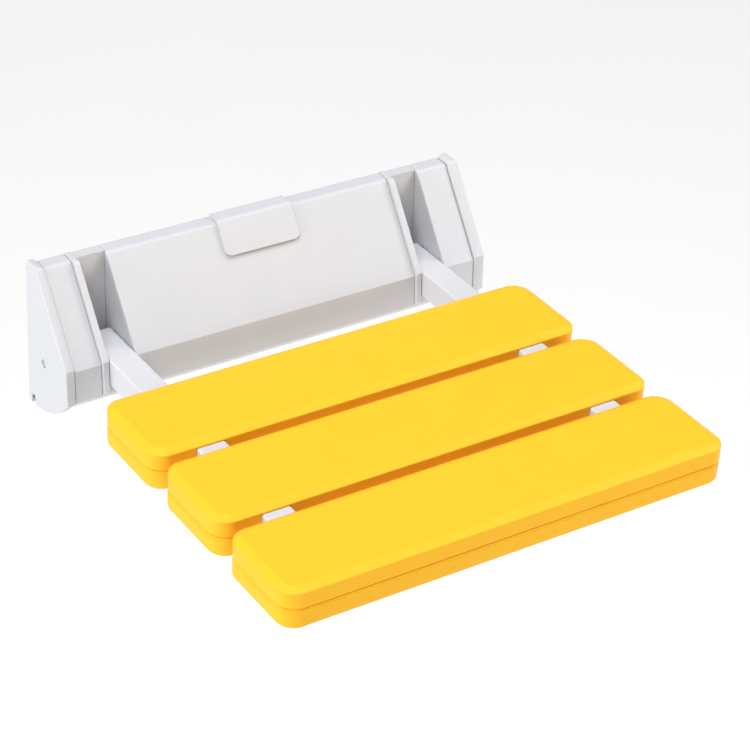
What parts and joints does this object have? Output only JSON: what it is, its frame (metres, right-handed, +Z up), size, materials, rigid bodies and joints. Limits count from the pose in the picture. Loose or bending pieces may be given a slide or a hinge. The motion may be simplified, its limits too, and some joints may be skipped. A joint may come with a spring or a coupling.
{
  "type": "folding shower seat",
  "caption": "Wall-mounted folding shower seat: yellow slats clamped on two square arms that swing up into slots in a shallow white wall housing.",
  "frame": {"origin": "centre of the wall plate's back face, on the wall", "axes": "+X to the right along the wall, +Y into the wall, +Z up"},
  "size_m": [0.32, 0.3204, 0.1042],
  "materials": {
    "white_plastic": "satin moulded",
    "white_enamel": "semi-gloss powder coat",
    "yellow_plastic": "semi-gloss moulded",
    "stainless_steel": "turned and tumbled",
    "zinc_plate": "zinc plated, dull",
    "natural_nylon": "natural moulded",
    "black_nylon": "matte moulded"
  },
  "bodies": {
    "wall_unit": {"badge_tab": "white_plastic", "bracket_screw_left_lower": "stainless_steel", "bracket_screw_left_upper": "stainless_steel", "bracket_screw_right_lower": "stainless_steel", "bracket_screw_right_upper": "stainless_steel", "centre_cover": "white_plastic", "end_cap_left": "white_plastic", "end_cap_right": "white_plastic", "end_section_left": "white_plastic", "end_section_right": "white_plastic", "hinge_bracket_left": "white_plastic", "hinge_bracket_right": "white_plastic", "pin_circlip_left": "stainless_steel", "pin_circlip_right": "stainless_steel", "pivot_pin_left": "stainless_steel", "pivot_pin_right": "stainless_steel", "wall_plate": "zinc_plate"},
    "seat": {"arm_front_plug_left": "black_nylon", "arm_front_plug_right": "black_nylon", "arm_left": "white_enamel", "arm_rear_plug_left": "natural_nylon", "arm_rear_plug_right": "natural_nylon", "arm_right": "white_enamel", "friction_washer_left_inner": "black_nylon", "friction_washer_left_outer": "black_nylon", "friction_washer_right_inner": "black_nylon", "friction_washer_right_outer": "black_nylon", "pivot_bush_left": "natural_nylon", "pivot_bush_right": "natural_nylon", "slat_1_arm_screw_left": "stainless_steel", "slat_1_arm_screw_right": "stainless_steel", "slat_1_lower": "yellow_plastic", "slat_1_screw_1": "stainless_steel", "slat_1_screw_2": "stainless_steel", "slat_1_screw_3": "stainless_steel", "slat_1_screw_4": "stainless_steel", "slat_1_upper": "yellow_plastic", "slat_2_arm_screw_left": "stainless_steel", "slat_2_arm_screw_right": "stainless_steel", "slat_2_lower": "yellow_plastic", "slat_2_screw_1": "stainless_steel", "slat_2_screw_2": "stainless_steel", "slat_2_screw_3": "stainless_steel", "slat_2_screw_4": "stainless_steel", "slat_2_upper": "yellow_plastic", "slat_3_arm_screw_left": "stainless_steel", "slat_3_arm_screw_right": "stainless_steel", "slat_3_lower": "yellow_plastic", "slat_3_screw_1": "stainless_steel", "slat_3_screw_2": "stainless_steel", "slat_3_screw_3": "stainless_steel", "slat_3_screw_4": "stainless_steel", "slat_3_upper": "yellow_plastic"}
  },
  "joints": [
    {"name": "seat_fold", "type": "hinge", "parent": "wall_unit", "child": "seat", "pos_m": [0, -0.0226, -0.0124], "axis": [-1, 0, 0], "range_deg": [0, 90]}
  ]
}
